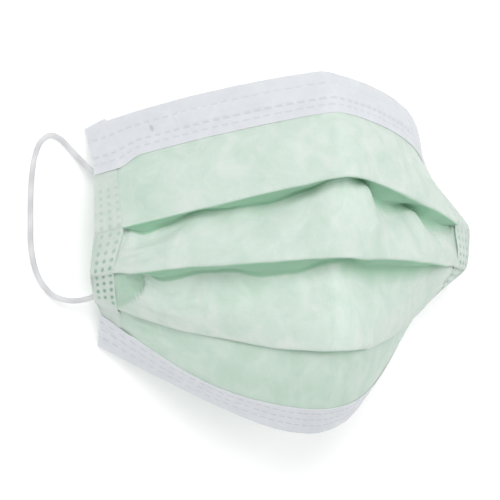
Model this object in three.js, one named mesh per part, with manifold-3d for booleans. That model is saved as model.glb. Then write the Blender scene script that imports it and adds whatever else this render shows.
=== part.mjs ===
// A pleated surgical face mask, opened out and lying on a table with its hollow side down.
// Millimetres. +X runs across the mask, +Y towards the nose edge, +Z up out of the table.
import * as THREE from "three";
import { mergeVertices } from "three/addons/utils/BufferGeometryUtils.js";
import Module from "manifold-3d";

const wasm = await Module();
wasm.setup();

// Form of the opened mask
const half_width = 68; // middle line to the widest point of a side seam
const half_length = 60; // middle to the nose edge and to the chin edge
const dome_height = 78; // table to the highest fold

// Cloth
const cloth_half_width = 87.5; // flat cloth from the middle line to a side edge
const wall = 1; // three bonded layers of nonwoven
const layer_gap = 0.4; // air between two layers of a closed pleat
const clearance = 0.3; // between neighbouring pieces
const pleat_depth = 11; // fold edge to hidden valley
const crown = 1.6; // how far a stretch of panel swells between two folds

// Side hems
const hem_width = 9;
const hem_thickness = 3;

// Bindings folded over the nose and chin edges
const nose_binding_width = 17;
const chin_binding_width = 13;

// Nose wire in its channel
const wire_length = 104;
const wire_width = 4;
const wire_thickness = 0.6;
const wire_from_edge = 8; // nose edge to the wire's middle

// Ear loops
const loop_diameter = 2;
const loop_sides = 8;
const loop_steps = 48;

// Counts that set how fine the cloth is faceted
const panel_stations = 29;
const hem_stations = 3;
const sharpest_mitre = 1.5; // keeps tight turns of the cloth from growing spikes

// A pleat counts as closed when its valley lies this share of pleat_depth above its fold edge
const closed_rise = 0.6;
const passing_share = 0.25; // of a panel: where it passes out from under the fold above it

// Into how many steps a stretch of cloth is cut down one section
const nose_steps = 3;
const return_steps = 2;
const panel_steps = 5;
const chin_steps = 4;

// The lines that shape the mask, from nose to chin, at its middle, half way out and at the side seam.
// out is a share of half_width, fore of half_length and lift of dome_height.
// round eases the middle ridge over that share of the cloth's half width.
// right_seam takes the place of seam where the right side is drawn in further.
const LINES = {
  nose_edge: {
    round: 0.05,
    middle: { fore: 0.98, lift: 0.72 },
    half: { out: 0.53, fore: 0.86, lift: 0.42 },
    seam: { out: 0.93, fore: 0.7, lift: 0.01 },
    right_seam: { out: 0.9, fore: 0.68, lift: 0.01 },
  },
  nose_bend: {
    round: 0.05,
    middle: { fore: 0.77, lift: 0.85 },
    half: { out: 0.51, fore: 0.61, lift: 0.56 },
    seam: { out: 0.93, fore: 0.48, lift: 0.15 },
    right_seam: { out: 0.86, fore: 0.47, lift: 0.13 },
  },
  first_fold: {
    round: 0.06,
    middle: { fore: 0.43, lift: 1.0 },
    half: { out: 0.5, fore: 0.29, lift: 0.72 },
    seam: { out: 0.99, fore: 0.13, lift: 0.33 },
  },
  second_fold: {
    round: 0.1,
    middle: { fore: 0.0, lift: 0.93 },
    half: { out: 0.56, fore: -0.04, lift: 0.66 },
    seam: { out: 1.0, fore: -0.11, lift: 0.28 },
  },
  third_fold: {
    round: 0.2,
    middle: { fore: -0.5, lift: 0.9 },
    half: { out: 0.43, fore: -0.44, lift: 0.54 },
    seam: { out: 0.94, fore: -0.26, lift: 0.17 },
    right_seam: { out: 0.91, fore: -0.25, lift: 0.16 },
  },
  chin_bend: {
    round: 0.35,
    middle: { fore: -0.83, lift: 0.7 },
    half: { out: 0.39, fore: -0.68, lift: 0.39 },
    seam: { out: 0.89, fore: -0.32, lift: 0.12 },
    right_seam: { out: 0.82, fore: -0.32, lift: 0.11 },
  },
  chin_edge: {
    round: 0.45,
    middle: { fore: -0.98, lift: 0.57 },
    half: { out: 0.44, fore: -0.73, lift: 0.22 },
    seam: { out: 0.88, fore: -0.51, lift: 0.02 },
    right_seam: { out: 0.79, fore: -0.5, lift: 0.02 },
  },
};

// How far each pleat stands open, from the left hem to the right one.
// across is a share of the cloth's half width. drop is how far the valley lies below the fold edge,
// and sink how far under the panel above, both as shares of pleat_depth.
const PLEATS = {
  first: [
    { across: -0.9, drop: -0.9, sink: 0.13 },
    { across: -0.82, drop: -0.25, sink: 0.8 },
    { across: -0.74, drop: -0.18, sink: 0.86 },
    { across: -0.6, drop: -0.42, sink: 0.84 },
    { across: -0.32, drop: -0.12, sink: 0.93 },
    { across: -0.06, drop: -0.4, sink: 0.88 },
    { across: 0.06, drop: -0.1, sink: 0.8 },
    { across: 0.18, drop: 0.15, sink: 0.8 },
    { across: 0.4, drop: -0.05, sink: 0.78 },
    { across: 0.57, drop: 0.12, sink: 0.78 },
    { across: 0.72, drop: -0.15, sink: 0.6 },
    { across: 0.9, drop: -0.9, sink: 0.13 },
  ],
  second: [
    { across: -0.9, drop: -0.9, sink: 0.13 },
    { across: -0.62, drop: -0.06, sink: 0.88 },
    { across: -0.5, drop: -0.18, sink: 0.88 },
    { across: -0.25, drop: 0.06, sink: 0.96 },
    { across: -0.03, drop: -0.05, sink: 0.92 },
    { across: 0.12, drop: 0.3, sink: 0.82 },
    { across: 0.5, drop: 0.3, sink: 0.68 },
    { across: 0.72, drop: 0.1, sink: 0.5 },
    { across: 0.9, drop: -0.9, sink: 0.13 },
  ],
  third: [
    { across: -0.9, drop: -0.9, sink: 0.13 },
    { across: -0.45, drop: -0.5, sink: 0.35 },
    { across: 0.0, drop: -0.35, sink: 0.4 },
    { across: 0.45, drop: -0.5, sink: 0.35 },
    { across: 0.9, drop: -0.9, sink: 0.13 },
  ],
};

// Routes of the ear loops' middle lines, from the weld at the nose corner to the weld at the chin corner.
// One loop lies beside the mask, the other is tucked under it.
const LOOP_ROUTE = [
  { out: 55.3, fore: 27.6, lift: 17.0 },
  { out: 58.6, fore: 27.0, lift: 13.0 },
  { out: 60.8, fore: 26.8, lift: 9.0 },
  { out: 62.8, fore: 28.2, lift: 5.8 },
  { out: 65.8, fore: 31.8, lift: 2.6 },
  { out: 69.5, fore: 36.0, lift: 1.3 },
  { out: 72.5, fore: 39.0, lift: 1.2 },
  { out: 76.0, fore: 40.2, lift: 1.2 },
  { out: 79.2, fore: 38.0, lift: 1.2 },
  { out: 81.3, fore: 33.0, lift: 1.2 },
  { out: 82.6, fore: 24.0, lift: 1.2 },
  { out: 83.0, fore: 12.0, lift: 1.2 },
  { out: 82.8, fore: 2.0, lift: 1.2 },
  { out: 81.4, fore: -5.0, lift: 1.2 },
  { out: 79.0, fore: -10.0, lift: 1.4 },
  { out: 75.4, fore: -13.8, lift: 2.4 },
  { out: 70.4, fore: -15.4, lift: 5.4 },
  { out: 65.6, fore: -14.8, lift: 7.8 },
  { out: 61.2, fore: -13.2, lift: 10.0 },
  { out: 58.2, fore: -14.0, lift: 13.0 },
  { out: 56.2, fore: -15.6, lift: 15.4 },
];
const TUCKED_ROUTE = [
  { out: 52.0, fore: 27.4, lift: 15.8 },
  { out: 53.0, fore: 26.2, lift: 11.6 },
  { out: 53.2, fore: 25.4, lift: 8.2 },
  { out: 51.4, fore: 25.2, lift: 5.0 },
  { out: 47.6, fore: 25.4, lift: 2.2 },
  { out: 41.6, fore: 25.4, lift: 1.2 },
  { out: 34.0, fore: 24.8, lift: 1.2 },
  { out: 26.4, fore: 22.4, lift: 1.2 },
  { out: 20.4, fore: 17.8, lift: 1.2 },
  { out: 17.4, fore: 12.0, lift: 1.2 },
  { out: 16.6, fore: 6.0, lift: 1.2 },
  { out: 17.4, fore: 0.0, lift: 1.2 },
  { out: 20.4, fore: -6.0, lift: 1.2 },
  { out: 26.4, fore: -10.8, lift: 1.2 },
  { out: 34.0, fore: -13.0, lift: 1.2 },
  { out: 41.6, fore: -13.4, lift: 1.3 },
  { out: 47.6, fore: -13.2, lift: 2.6 },
  { out: 51.4, fore: -13.0, lift: 6.0 },
  { out: 53.6, fore: -13.2, lift: 9.6 },
  { out: 54.2, fore: -14.0, lift: 12.6 },
  { out: 54.2, fore: -15.6, lift: 15.8 },
];

const layer_step = wall + layer_gap;
const hem_inner_share = 1 - hem_width / cloth_half_width;
const panel_end_share = hem_inner_share - clearance / cloth_half_width;

// One value through its middle, half-way and seam values; a runs from 0 at the middle to 1 at the seam
function through(middle, half, seam, a) {
  return middle * 2 * (a - 0.5) * (a - 1) - half * 4 * a * (a - 1) + seam * 2 * a * (a - 0.5);
}

// Point of a shaping line; across runs from -1 at the left seam to 1 at the right one
function pointOn(line, across) {
  const { round, middle, half, seam: left_seam, right_seam = left_seam } = LINES[line];
  const seam = across > 0 ? right_seam : left_seam;
  const a = Math.abs(across);
  const soft = (Math.hypot(across, round) - round) / (Math.hypot(1, round) - round);
  return new THREE.Vector3(
    Math.sign(across) * half_width * through(0, half.out, seam.out, a),
    half_length * through(middle.fore, half.fore, seam.fore, soft),
    dome_height * through(middle.lift, half.lift, seam.lift, soft),
  );
}

// Direction along a shaping line, towards +X
function alongLine(line, across) {
  const step = 0.01;
  return pointOn(line, across + step).sub(pointOn(line, across - step)).normalize();
}

// A pleat's drop and sink at a place across the mask, eased from row to row of its table
function openingOf(pleat, across) {
  const rows = PLEATS[pleat];
  const last = rows.length - 1;
  const next = rows.findIndex((row) => row.across > across);
  if (next === 0) return rows[0];
  if (next < 0) return rows[last];
  const before = rows[next - 1];
  const after = rows[next];
  const t = (across - before.across) / (after.across - before.across);
  const ease = t * t * (3 - 2 * t);
  return {
    drop: THREE.MathUtils.lerp(before.drop, after.drop, ease),
    sink: THREE.MathUtils.lerp(before.sink, after.sink, ease),
  };
}

// Points from one place to the next, swelling outwards by height in between; the start is left out
function stretch(from, to, count, outward, height) {
  const points = [];
  for (let k = 1; k <= count; k++) {
    const t = k / count;
    const swell = height * Math.sin(Math.PI * t);
    points.push({ point: from.clone().lerp(to, t).addScaledVector(outward, swell) });
  }
  return points;
}

// The fold edge, return layer and hidden valley of one pleat.
// above is the last point of the panel over it, so the pleat tucks in under that panel.
function foldOf(pleat, line, across, above) {
  const edge = pointOn(line, across);
  const up = above.clone().sub(edge).normalize();
  const along = alongLine(line, across);
  const outward = along.clone().cross(up).normalize();
  const { drop, sink } = openingOf(pleat, across);
  const valley = edge
    .clone()
    .addScaledVector(up, -drop * pleat_depth)
    .addScaledVector(outward, -sink * pleat_depth);
  const back = valley.clone().sub(edge).normalize();
  const beyond = along.clone().cross(back).normalize();
  return {
    edge,
    edge_back: edge.clone().addScaledVector(beyond, -layer_step),
    valley,
    valley_back: valley.clone().addScaledVector(beyond, -layer_step),
    behind: edge.clone().addScaledVector(outward, -2 * layer_step),
    closed: THREE.MathUtils.smoothstep(-drop, 0, closed_rise),
    outward,
  };
}

// The panel under a fold, down to the next place. Under a closed pleat it keeps close behind the fold
// edge, and from an open one it runs straight out of the valley.
function panelBelow(fold, to, count, outward, height) {
  const passing = fold.valley_back.clone().lerp(to, passing_share).lerp(fold.behind, fold.closed);
  return [
    ...stretch(fold.valley_back, passing, 1, outward, 0),
    ...stretch(passing, to, count - 1, outward, height),
  ];
}

// The return layer of a pleat, from its fold edge to where the next panel starts
function returnLayer(fold) {
  return [
    { point: fold.edge_back },
    ...stretch(fold.edge_back, fold.valley, return_steps, fold.outward, 0),
    { point: fold.valley_back },
  ];
}

// The cloth's middle surface down one section, from nose edge to chin edge
function sectionOf(across) {
  const first = foldOf("first", "first_fold", across, pointOn("nose_bend", across));
  const second = foldOf("second", "second_fold", across, first.valley_back);
  const third = foldOf("third", "third_fold", across, second.valley_back);
  const noseSpan = pointOn("nose_edge", across).distanceTo(pointOn("nose_bend", across));
  const chinSpan = pointOn("chin_edge", across).distanceTo(pointOn("chin_bend", across));
  const noseSkins = [0, 0.5, 1].map((share) => skinAt(across, share * noseSpan, "nose"));
  const chinSkins = [1, 0.5, 0].map((share) => skinAt(across, share * chinSpan, "chin"));
  const asPoint = ({ point, outward }) => ({ point, side: outward });
  return [
    ...noseSkins.map(asPoint),
    ...stretch(noseSkins[2].point, first.edge, nose_steps, first.outward, crown / 2),
    ...returnLayer(first),
    ...panelBelow(first, second.edge, panel_steps, second.outward, crown),
    ...returnLayer(second),
    ...panelBelow(second, third.edge, panel_steps, third.outward, crown),
    ...returnLayer(third),
    ...panelBelow(third, chinSkins[0].point, chin_steps, third.outward, crown / 2).slice(0, -1),
    ...chinSkins.map(asPoint),
  ];
}

// The main surface without pleats, which the hems and bindings follow.
// Gives the point and outward direction at a distance from the nose edge or from the chin edge.
function skinAt(across, distance, edge) {
  const fromNose = ["nose_edge", "nose_bend", "first_fold", "second_fold", "third_fold", "chin_bend", "chin_edge"];
  const order = edge === "nose" ? fromNose : fromNose.reverse();
  let left = distance;
  for (let k = 1; k < order.length; k++) {
    const from = pointOn(order[k - 1], across);
    const to = pointOn(order[k], across);
    const span = from.distanceTo(to);
    if (left <= span || k === order.length - 1) {
      const share = left / span;
      const inwards = to.clone().sub(from).normalize();
      const down = inwards.clone().multiplyScalar(edge === "nose" ? 1 : -1);
      const along = alongLine(order[k - 1], across).lerp(alongLine(order[k], across), share);
      return { point: from.lerp(to, share), outward: down.cross(along).normalize(), inwards };
    }
    left -= span;
  }
}

// Closed solid from a grid of point pairs: rows[station][place] = { outer, inner }
function solidFromGrid(rows) {
  const stations = rows.length;
  const places = rows[0].length;
  const positions = [];
  const outer = (i, j) => (i * places + j) * 2;
  const inner = (i, j) => outer(i, j) + 1;
  for (const row of rows) {
    for (const pair of row) {
      positions.push(...pair.outer.toArray(), ...pair.inner.toArray());
    }
  }
  const faces = [];
  const quad = (a, b, c, d) => faces.push(a, b, c, a, c, d);
  for (let i = 0; i < stations - 1; i++) {
    for (let j = 0; j < places - 1; j++) {
      quad(outer(i, j), outer(i, j + 1), outer(i + 1, j + 1), outer(i + 1, j));
      quad(inner(i, j), inner(i + 1, j), inner(i + 1, j + 1), inner(i, j + 1));
    }
    const end = places - 1;
    quad(outer(i, 0), outer(i + 1, 0), inner(i + 1, 0), inner(i, 0));
    quad(outer(i, end), inner(i, end), inner(i + 1, end), outer(i + 1, end));
  }
  for (let j = 0; j < places - 1; j++) {
    const end = stations - 1;
    quad(outer(0, j), inner(0, j), inner(0, j + 1), outer(0, j + 1));
    quad(outer(end, j), outer(end, j + 1), inner(end, j + 1), inner(end, j));
  }
  const geometry = new THREE.BufferGeometry();
  geometry.setAttribute("position", new THREE.Float32BufferAttribute(positions, 3));
  geometry.setIndex(faces);
  return geometry;
}

// Cloth of one thickness on both sides of its middle surface.
// sections[station] lists its places in order; a place may give its own side to face.
function clothFromSections(sections) {
  const stations = sections.length;
  const rows = sections.map((places, i) =>
    places.map(({ point, side }, j) => {
      if (side) return pairAround(point, side, wall / 2);
      const left = sections[Math.max(i - 1, 0)][j].point;
      const right = sections[Math.min(i + 1, stations - 1)][j].point;
      const along = right.clone().sub(left);
      const sides = [];
      if (j > 0) sides.push(point.clone().sub(places[j - 1].point).cross(along).normalize());
      if (j < places.length - 1) {
        sides.push(places[j + 1].point.clone().sub(point).cross(along).normalize());
      }
      const facing = sides.reduce((sum, one) => sum.add(one), new THREE.Vector3()).normalize();
      const mitre = Math.min(1 / facing.dot(sides[sides.length - 1]), sharpest_mitre);
      return pairAround(point, facing, (wall / 2) * mitre);
    }),
  );
  return solidFromGrid(rows);
}

function pairAround(point, side, half) {
  return {
    outer: point.clone().addScaledVector(side, half),
    inner: point.clone().addScaledVector(side, -half),
  };
}

// Even places from one share across the mask to another
function stationsBetween(from, to, count) {
  return Array.from({ length: count }, (_, i) => from + ((to - from) * i) / (count - 1));
}

function solidOf(geometry) {
  const plain = geometry.clone();
  plain.deleteAttribute("normal");
  plain.deleteAttribute("uv");
  const merged = mergeVertices(plain, 1e-3);
  const mesh = new wasm.Mesh({
    numProp: 3,
    vertProperties: merged.attributes.position.array,
    triVerts: new Uint32Array(merged.index.array),
  });
  return new wasm.Manifold(mesh);
}

function geometryOf(solid) {
  const mesh = solid.getMesh();
  const geometry = new THREE.BufferGeometry();
  geometry.setAttribute("position", new THREE.BufferAttribute(mesh.vertProperties, 3));
  geometry.setIndex(new THREE.BufferAttribute(mesh.triVerts, 1));
  return geometry;
}

// The part of a piece that is above the table, with a flat underside where it would reach below
function restedOnTable(geometry) {
  const depth = half_width;
  const below = new THREE.BoxGeometry(depth * 4, depth * 4, depth).translate(0, 0, -depth / 2);
  return geometryOf(solidOf(geometry).subtract(solidOf(below)));
}

// Stations across the mask: the pleated cloth, the hems beside it and the bindings over both
const hemPlaces = stationsBetween(hem_inner_share, 1, hem_stations);
const panelPlaces = stationsBetween(-panel_end_share, panel_end_share, panel_stations);
const wireEnd = wire_length / 2 / cloth_half_width;
const channelEnd = wireEnd + (clearance + wall) / cloth_half_width;

function withEnds(places, ends) {
  const mirrored = ends.map((place) => -place);
  return [...places, ...ends, ...mirrored].sort((a, b) => a - b);
}

// The green body: one cloth, folded back and forth at each pleat and cut clear of the hems
function pleatedPanel() {
  const cloth = solidOf(clothFromSections(panelPlaces.map(sectionOf)));
  const left = solidOf(sideHem(-1, clearance));
  const right = solidOf(sideHem(1, clearance));
  return geometryOf(cloth.subtract(left).subtract(right));
}

// A strip folded over the nose or chin edge, as wide on both sides.
// Where a wire runs under it, its outer side rises into a shallow channel.
function binding(edge, width, wired) {
  const wireEnds = wired ? [wireEnd, channelEnd] : [];
  const places = withEnds(panelPlaces, [...hemPlaces, ...wireEnds]);
  const near = wall + clearance;
  const raised = near + wire_thickness + clearance;
  const channel = wire_width / 2 + clearance;
  const sections = places.map((across) => {
    const at = (distance, offset) => {
      const skin = skinAt(across, Math.max(distance, 0), edge);
      const past = Math.min(distance, 0);
      const point = skin.point.addScaledVector(skin.outward, offset);
      return { point: point.addScaledVector(skin.inwards, past) };
    };
    const lifted = Math.abs(across) <= wireEnd ? raised : near;
    const channelPoints = [
      at(wire_from_edge + channel + wall, near),
      at(wire_from_edge + channel, lifted),
      at(wire_from_edge - channel, lifted),
      at(wire_from_edge - channel - wall, near),
    ];
    return [
      at(width, near),
      ...(wired ? channelPoints : [at(width / 2, near)]),
      at(-near, near),
      at(-near, -near),
      at(width / 2, -near),
      at(width, -near),
    ];
  });
  return restedOnTable(clothFromSections(sections));
}

// The flat wire that lies between the cloth and the nose binding
function noseWire() {
  const inside = panelPlaces.filter((across) => Math.abs(across) < wireEnd);
  const under = wall / 2 + clearance;
  const rows = withEnds(inside, [wireEnd]).map((across) =>
    [wire_from_edge - wire_width / 2, wire_from_edge + wire_width / 2].map((distance) => {
      const { point, outward } = skinAt(across, distance, "nose");
      return {
        outer: point.clone().addScaledVector(outward, under + wire_thickness),
        inner: point.clone().addScaledVector(outward, under),
      };
    }),
  );
  return solidFromGrid(rows);
}

// Distance along the skin from the nose edge to a shaping line
function distanceTo(line, across) {
  const order = ["nose_edge", "nose_bend", "first_fold", "second_fold", "third_fold"];
  let distance = 0;
  for (let k = 1; k <= order.indexOf(line); k++) {
    distance += pointOn(order[k - 1], across).distanceTo(pointOn(order[k], across));
  }
  return distance;
}

// The welded strip that gathers the pleats at one side; inside each binding it thins to a single layer.
// grown is how much larger it is made on every side that faces the pleated cloth.
function sideHem(side, grown = 0) {
  const before = grown > 0 ? [hem_inner_share - grown / cloth_half_width] : [];
  const shares = [...before, ...hemPlaces];
  const places = shares.map((share) => side * share).sort((a, b) => a - b);
  const thin = wall / 2 + grown;
  const thick = hem_thickness - wall / 2 + grown;
  const rows = places.map((across) => {
    const at = (distance, edge, depth) => {
      const { point, outward } = skinAt(across, distance, edge);
      return {
        outer: point.clone().addScaledVector(outward, wall / 2 + grown),
        inner: point.clone().addScaledVector(outward, -depth),
      };
    };
    const noseZone = [clearance + wall, nose_binding_width / 2, nose_binding_width + clearance];
    const chinZone = [chin_binding_width + clearance, chin_binding_width / 2, clearance + wall];
    const folds = ["first_fold", "second_fold", "third_fold"];
    return [
      ...noseZone.map((distance) => at(distance, "nose", thin)),
      at(nose_binding_width + clearance + wall, "nose", thick),
      ...folds.map((line) => at(distanceTo(line, across), "nose", thick)),
      at(chin_binding_width + clearance + wall, "chin", thick),
      ...chinZone.map((distance) => at(distance, "chin", thin)),
    ];
  });
  return solidFromGrid(rows);
}

// A round cord along its route
function earLoop(route, side) {
  const points = route.map(({ out, fore, lift }) => new THREE.Vector3(side * out, fore, lift));
  const section = new THREE.Shape();
  for (let k = 0; k < loop_sides; k++) {
    const angle = (2 * Math.PI * k) / loop_sides;
    const x = (Math.cos(angle) * loop_diameter) / 2;
    const y = (Math.sin(angle) * loop_diameter) / 2;
    if (k === 0) section.moveTo(x, y);
    else section.lineTo(x, y);
  }
  return new THREE.ExtrudeGeometry(section, {
    steps: loop_steps,
    extrudePath: new THREE.CatmullRomCurve3(points),
  });
}

const MATERIALS = {
  green: new THREE.MeshStandardMaterial({ color: "#cfe3d8", roughness: 0.85, metalness: 0 }),
  hem_green: new THREE.MeshStandardMaterial({ color: "#c9ddd2", roughness: 0.7, metalness: 0 }),
  white: new THREE.MeshStandardMaterial({ color: "#dee0e6", roughness: 0.85, metalness: 0 }),
  wire: new THREE.MeshStandardMaterial({ color: "#e8e8e8", roughness: 0.5, metalness: 0 }),
  elastic: new THREE.MeshStandardMaterial({ color: "#dcdcdc", roughness: 0.9, metalness: 0 }),
};

const mask = new THREE.Group();

function addPiece(name, geometry, material) {
  const piece = new THREE.Mesh(geometry, material);
  piece.name = name;
  mask.add(piece);
}

addPiece("pleated_panel", pleatedPanel(), MATERIALS.green);
addPiece("nose_binding", binding("nose", nose_binding_width, true), MATERIALS.white);
addPiece("chin_binding", binding("chin", chin_binding_width, false), MATERIALS.white);
addPiece("nose_wire", noseWire(), MATERIALS.wire);
addPiece("side_hem_left", sideHem(-1), MATERIALS.hem_green);
addPiece("side_hem_right", sideHem(1), MATERIALS.hem_green);
addPiece("ear_loop_left", earLoop(LOOP_ROUTE, -1), MATERIALS.elastic);
addPiece("ear_loop_right", earLoop(TUCKED_ROUTE, 1), MATERIALS.elastic);

export default mask;
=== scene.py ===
"""A pleated surgical face mask, opened out and lying on a table with its hollow side down."""

import math

import bpy
import numpy as np
from mathutils import Euler, Matrix, Vector


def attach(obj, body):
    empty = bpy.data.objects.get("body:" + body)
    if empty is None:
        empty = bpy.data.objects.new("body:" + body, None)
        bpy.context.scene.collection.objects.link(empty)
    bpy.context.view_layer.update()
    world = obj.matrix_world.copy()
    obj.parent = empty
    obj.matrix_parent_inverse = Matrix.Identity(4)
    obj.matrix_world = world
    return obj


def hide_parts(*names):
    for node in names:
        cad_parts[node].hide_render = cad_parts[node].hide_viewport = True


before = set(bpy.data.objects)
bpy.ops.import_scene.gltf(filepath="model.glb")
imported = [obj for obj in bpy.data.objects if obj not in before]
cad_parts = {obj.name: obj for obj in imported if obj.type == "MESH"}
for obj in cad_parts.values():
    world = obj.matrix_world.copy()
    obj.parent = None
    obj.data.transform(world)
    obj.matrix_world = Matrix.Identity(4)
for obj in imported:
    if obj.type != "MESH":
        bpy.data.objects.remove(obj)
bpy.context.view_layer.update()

# All shapes are worked out in millimetres and turned to metres when a mesh is made
MM = 0.001

# Form of the opened mask, as in the part's solids
HALF_WIDTH = 68
HALF_LENGTH = 60
DOME_HEIGHT = 78
CLOTH_HALF_WIDTH = 87.5
CLOTH_SHORT = 1.35  # the cloth ends this far inside the turned edge of each hem
PLEAT_DEPTH = 11
CROWNS = {"first": 0.8, "second": 1.6, "third": 1.6, "chin": 0.8}  # how far each panel swells out
CLOSED_RISE = 0.6  # a pleat whose valley lies this share of its depth above its fold edge is closed
PASSING_SHARE = 0.25  # of a panel: where it passes out from under the fold above it
HEM_WIDTH = 9
HEM_TAPER = 0.26
TUCKED_IN = 2  # of each hem, under the bindings
HEM_SWELL = {"hem_strip_left": 0.4, "hem_strip_right": 1.8}
HEM_UNDERSIDE = -2.4  # where its inner layer runs, under the gathered pleats
HEM_TURN = 0.3  # its turned edge as a share of a half circle's reach
HEM_EDGE_DROP = 0.45  # its free edge lies this much nearer the cloth
HEM_LIFT = 0.45  # the bindings rise by this much over a hem
HEM_NARROWS = (0.35, 0.95)  # shares of its length over which it tapers
HEM_SOFTENING = 60  # passes that round its course from nose to chin
HEM_ROWS = 220
FOLD_STEP = 0.75  # how far a hem steps down past each fold edge under it
FOLD_STEP_RUN = 0.8  # mm in which it does so
FOLD_STEP_FADE = (10, 2)  # mm past the edge, over which it levels out again
DOT_COLUMNS = (2.2, 5.0, 7.8)  # of the hems' welds, from the turned edge
DOT_PITCH = 2.9
DOT_HALF_SIZE = (0.55, 0.75)
DOT_RIM = (1.25, 0.75)  # of its half size: from plain cloth to pressed
FAINT_DOTS = 0.25  # strength of the dots by the nose
DOTS_STRENGTHEN = (40, 66)  # mm down from the nose edge
DOTS_BELOW_STRIP = (5, 12)
DOTS_ABOVE_FOLD = (-2.5, -4.5)  # where they end, measured from the third fold edge
NOSE_BINDING_WIDTH = 17
CHIN_BINDING_WIDTH = 13
WIRE_LENGTH = 104
WIRE_WIDTH = 4
WIRE_FROM_EDGE = 8
WIRE_ROUND_END = (0.97, 1)  # of its half length
WIRE_END_NARROWS = 0.8
WIRE_EASE = (1.6, 1.5)  # mm beside it and past its end, in which the strip comes down again

# Thicknesses that show at an edge
CLOTH_THICKNESS = 0.5
STRIP_THICKNESS = 0.3
WIRE_THICKNESS = 0.5
LAYER_GAP = 0.35
AIR = 0.05
TABLE_GAP = 0.15  # lowest that any cloth reaches above the table
PRESS_DEPTH = 0.2
SHARP_ANGLE = 55  # degrees; only cut edges turn by more than this

# The lines that shape the mask, as shares of HALF_WIDTH, HALF_LENGTH and DOME_HEIGHT: fore and lift at
# the middle, then out, fore and lift half way out and at the seam. "round" is how far across the ridge
# is rounded. right_seam takes the place of seam where the right side is drawn in further.
LINES = {
    "nose_edge": {
        "round": 0.025, "middle": (0.98, 0.72), "half": (0.53, 0.86, 0.42),
        "seam": (0.93, 0.7, 0.01), "right_seam": (0.9, 0.68, 0.01),
    },
    "nose_bend": {
        "round": 0.03, "middle": (0.77, 0.85), "half": (0.51, 0.61, 0.56),
        "seam": (0.93, 0.48, 0.15), "right_seam": (0.86, 0.47, 0.13),
    },
    "first_fold": {
        "round": 0.06, "middle": (0.43, 1.0), "half": (0.5, 0.29, 0.72), "seam": (0.99, 0.13, 0.33),
    },
    "second_fold": {
        "round": 0.1, "middle": (0.0, 0.93), "half": (0.56, -0.04, 0.66), "seam": (1.0, -0.11, 0.28),
    },
    "third_fold": {
        "round": 0.2, "middle": (-0.5, 0.9), "half": (0.43, -0.44, 0.54),
        "seam": (0.94, -0.26, 0.17), "right_seam": (0.91, -0.25, 0.16),
    },
    "chin_bend": {
        "round": 0.35, "middle": (-0.83, 0.7), "half": (0.39, -0.68, 0.39),
        "seam": (0.89, -0.32, 0.12), "right_seam": (0.82, -0.32, 0.11),
    },
    "chin_edge": {
        "round": 0.45, "middle": (-0.98, 0.57), "half": (0.44, -0.73, 0.22),
        "seam": (0.88, -0.51, 0.02), "right_seam": (0.79, -0.5, 0.02),
    },
}

# How far each pleat stands open: place across as a share of CLOTH_HALF_WIDTH, then the drop of its
# valley below the fold edge and its sink behind the panel above, both as shares of PLEAT_DEPTH
PLEATS = {
    "first": (
        (-0.92, -0.9, 0.13), (-0.896, -0.02, 0.28), (-0.84, 0.14, 0.45), (-0.76, -0.02, 0.5),
        (-0.64, -0.23, 0.5), (-0.5, -0.1, 0.62), (-0.36, -0.12, 0.85), (-0.2, -0.23, 0.8),
        (-0.06, -0.24, 0.45), (0.06, -0.25, 0.42), (0.14, -0.36, 0.5), (0.24, -0.1, 0.75),
        (0.33, 0.02, 0.75), (0.44, -0.13, 0.75), (0.54, -0.3, 0.68), (0.66, 0.15, 0.52),
        (0.8, 0.02, 0.42), (0.896, -0.1, 0.28), (0.92, -0.9, 0.13),
    ),
    "second": (
        (-0.9, -0.9, 0.13), (-0.82, -0.15, 0.52), (-0.73, 0.08, 0.74), (-0.58, -0.14, 0.88),
        (-0.45, -0.12, 0.9), (-0.3, 0.09, 0.94), (-0.15, 0.13, 0.93), (0.0, 0.08, 0.75),
        (0.1, -0.04, 0.75), (0.2, 0.09, 0.8), (0.33, 0.03, 0.72), (0.5, -0.09, 0.65),
        (0.7, -0.14, 0.5), (0.9, -0.9, 0.13),
    ),
    "third": (
        (-0.9, -0.9, 0.13), (-0.45, -0.5, 0.35), (0.0, -0.35, 0.4), (0.45, -0.5, 0.35), (0.9, -0.9, 0.13),
    ),
}

# Middle lines of the ear loops, as in the part's solids: out, fore and lift
LOOP_ROUTE = (
    (55.3, 27.6, 17.0), (58.6, 27.0, 13.0), (60.8, 26.8, 9.0), (62.8, 28.2, 5.8), (65.8, 31.8, 2.6),
    (69.5, 36.0, 1.3), (72.5, 39.0, 1.2), (76.0, 40.2, 1.2), (79.2, 38.0, 1.2), (81.3, 33.0, 1.2),
    (82.6, 24.0, 1.2), (83.0, 12.0, 1.2), (82.8, 2.0, 1.2), (81.4, -5.0, 1.2), (79.0, -10.0, 1.4),
    (75.4, -13.8, 2.4), (70.4, -15.4, 5.4), (65.6, -14.8, 7.8), (61.2, -13.2, 10.0), (58.2, -14.0, 13.0),
    (56.2, -15.6, 15.4),
)
TUCKED_ROUTE = (
    (52.0, 27.4, 15.8), (53.0, 26.2, 11.6), (53.2, 25.4, 8.2), (51.4, 25.2, 5.0), (47.6, 25.4, 2.2),
    (41.6, 25.4, 1.2), (34.0, 24.8, 1.2), (26.4, 22.4, 1.2), (20.4, 17.8, 1.2), (17.4, 12.0, 1.2),
    (16.6, 6.0, 1.2), (17.4, 0.0, 1.2), (20.4, -6.0, 1.2), (26.4, -10.8, 1.2), (34.0, -13.0, 1.2),
    (41.6, -13.4, 1.3), (47.6, -13.2, 2.6), (51.4, -13.0, 6.0), (53.6, -13.2, 9.6), (54.2, -14.0, 12.6),
    (54.2, -15.6, 15.8),
)
LOOP_WIDTH = 1.9
LOOP_THICKNESS = 1.3
LOOP_STEP = 0.3
LOOP_SIDES = 20
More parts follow.
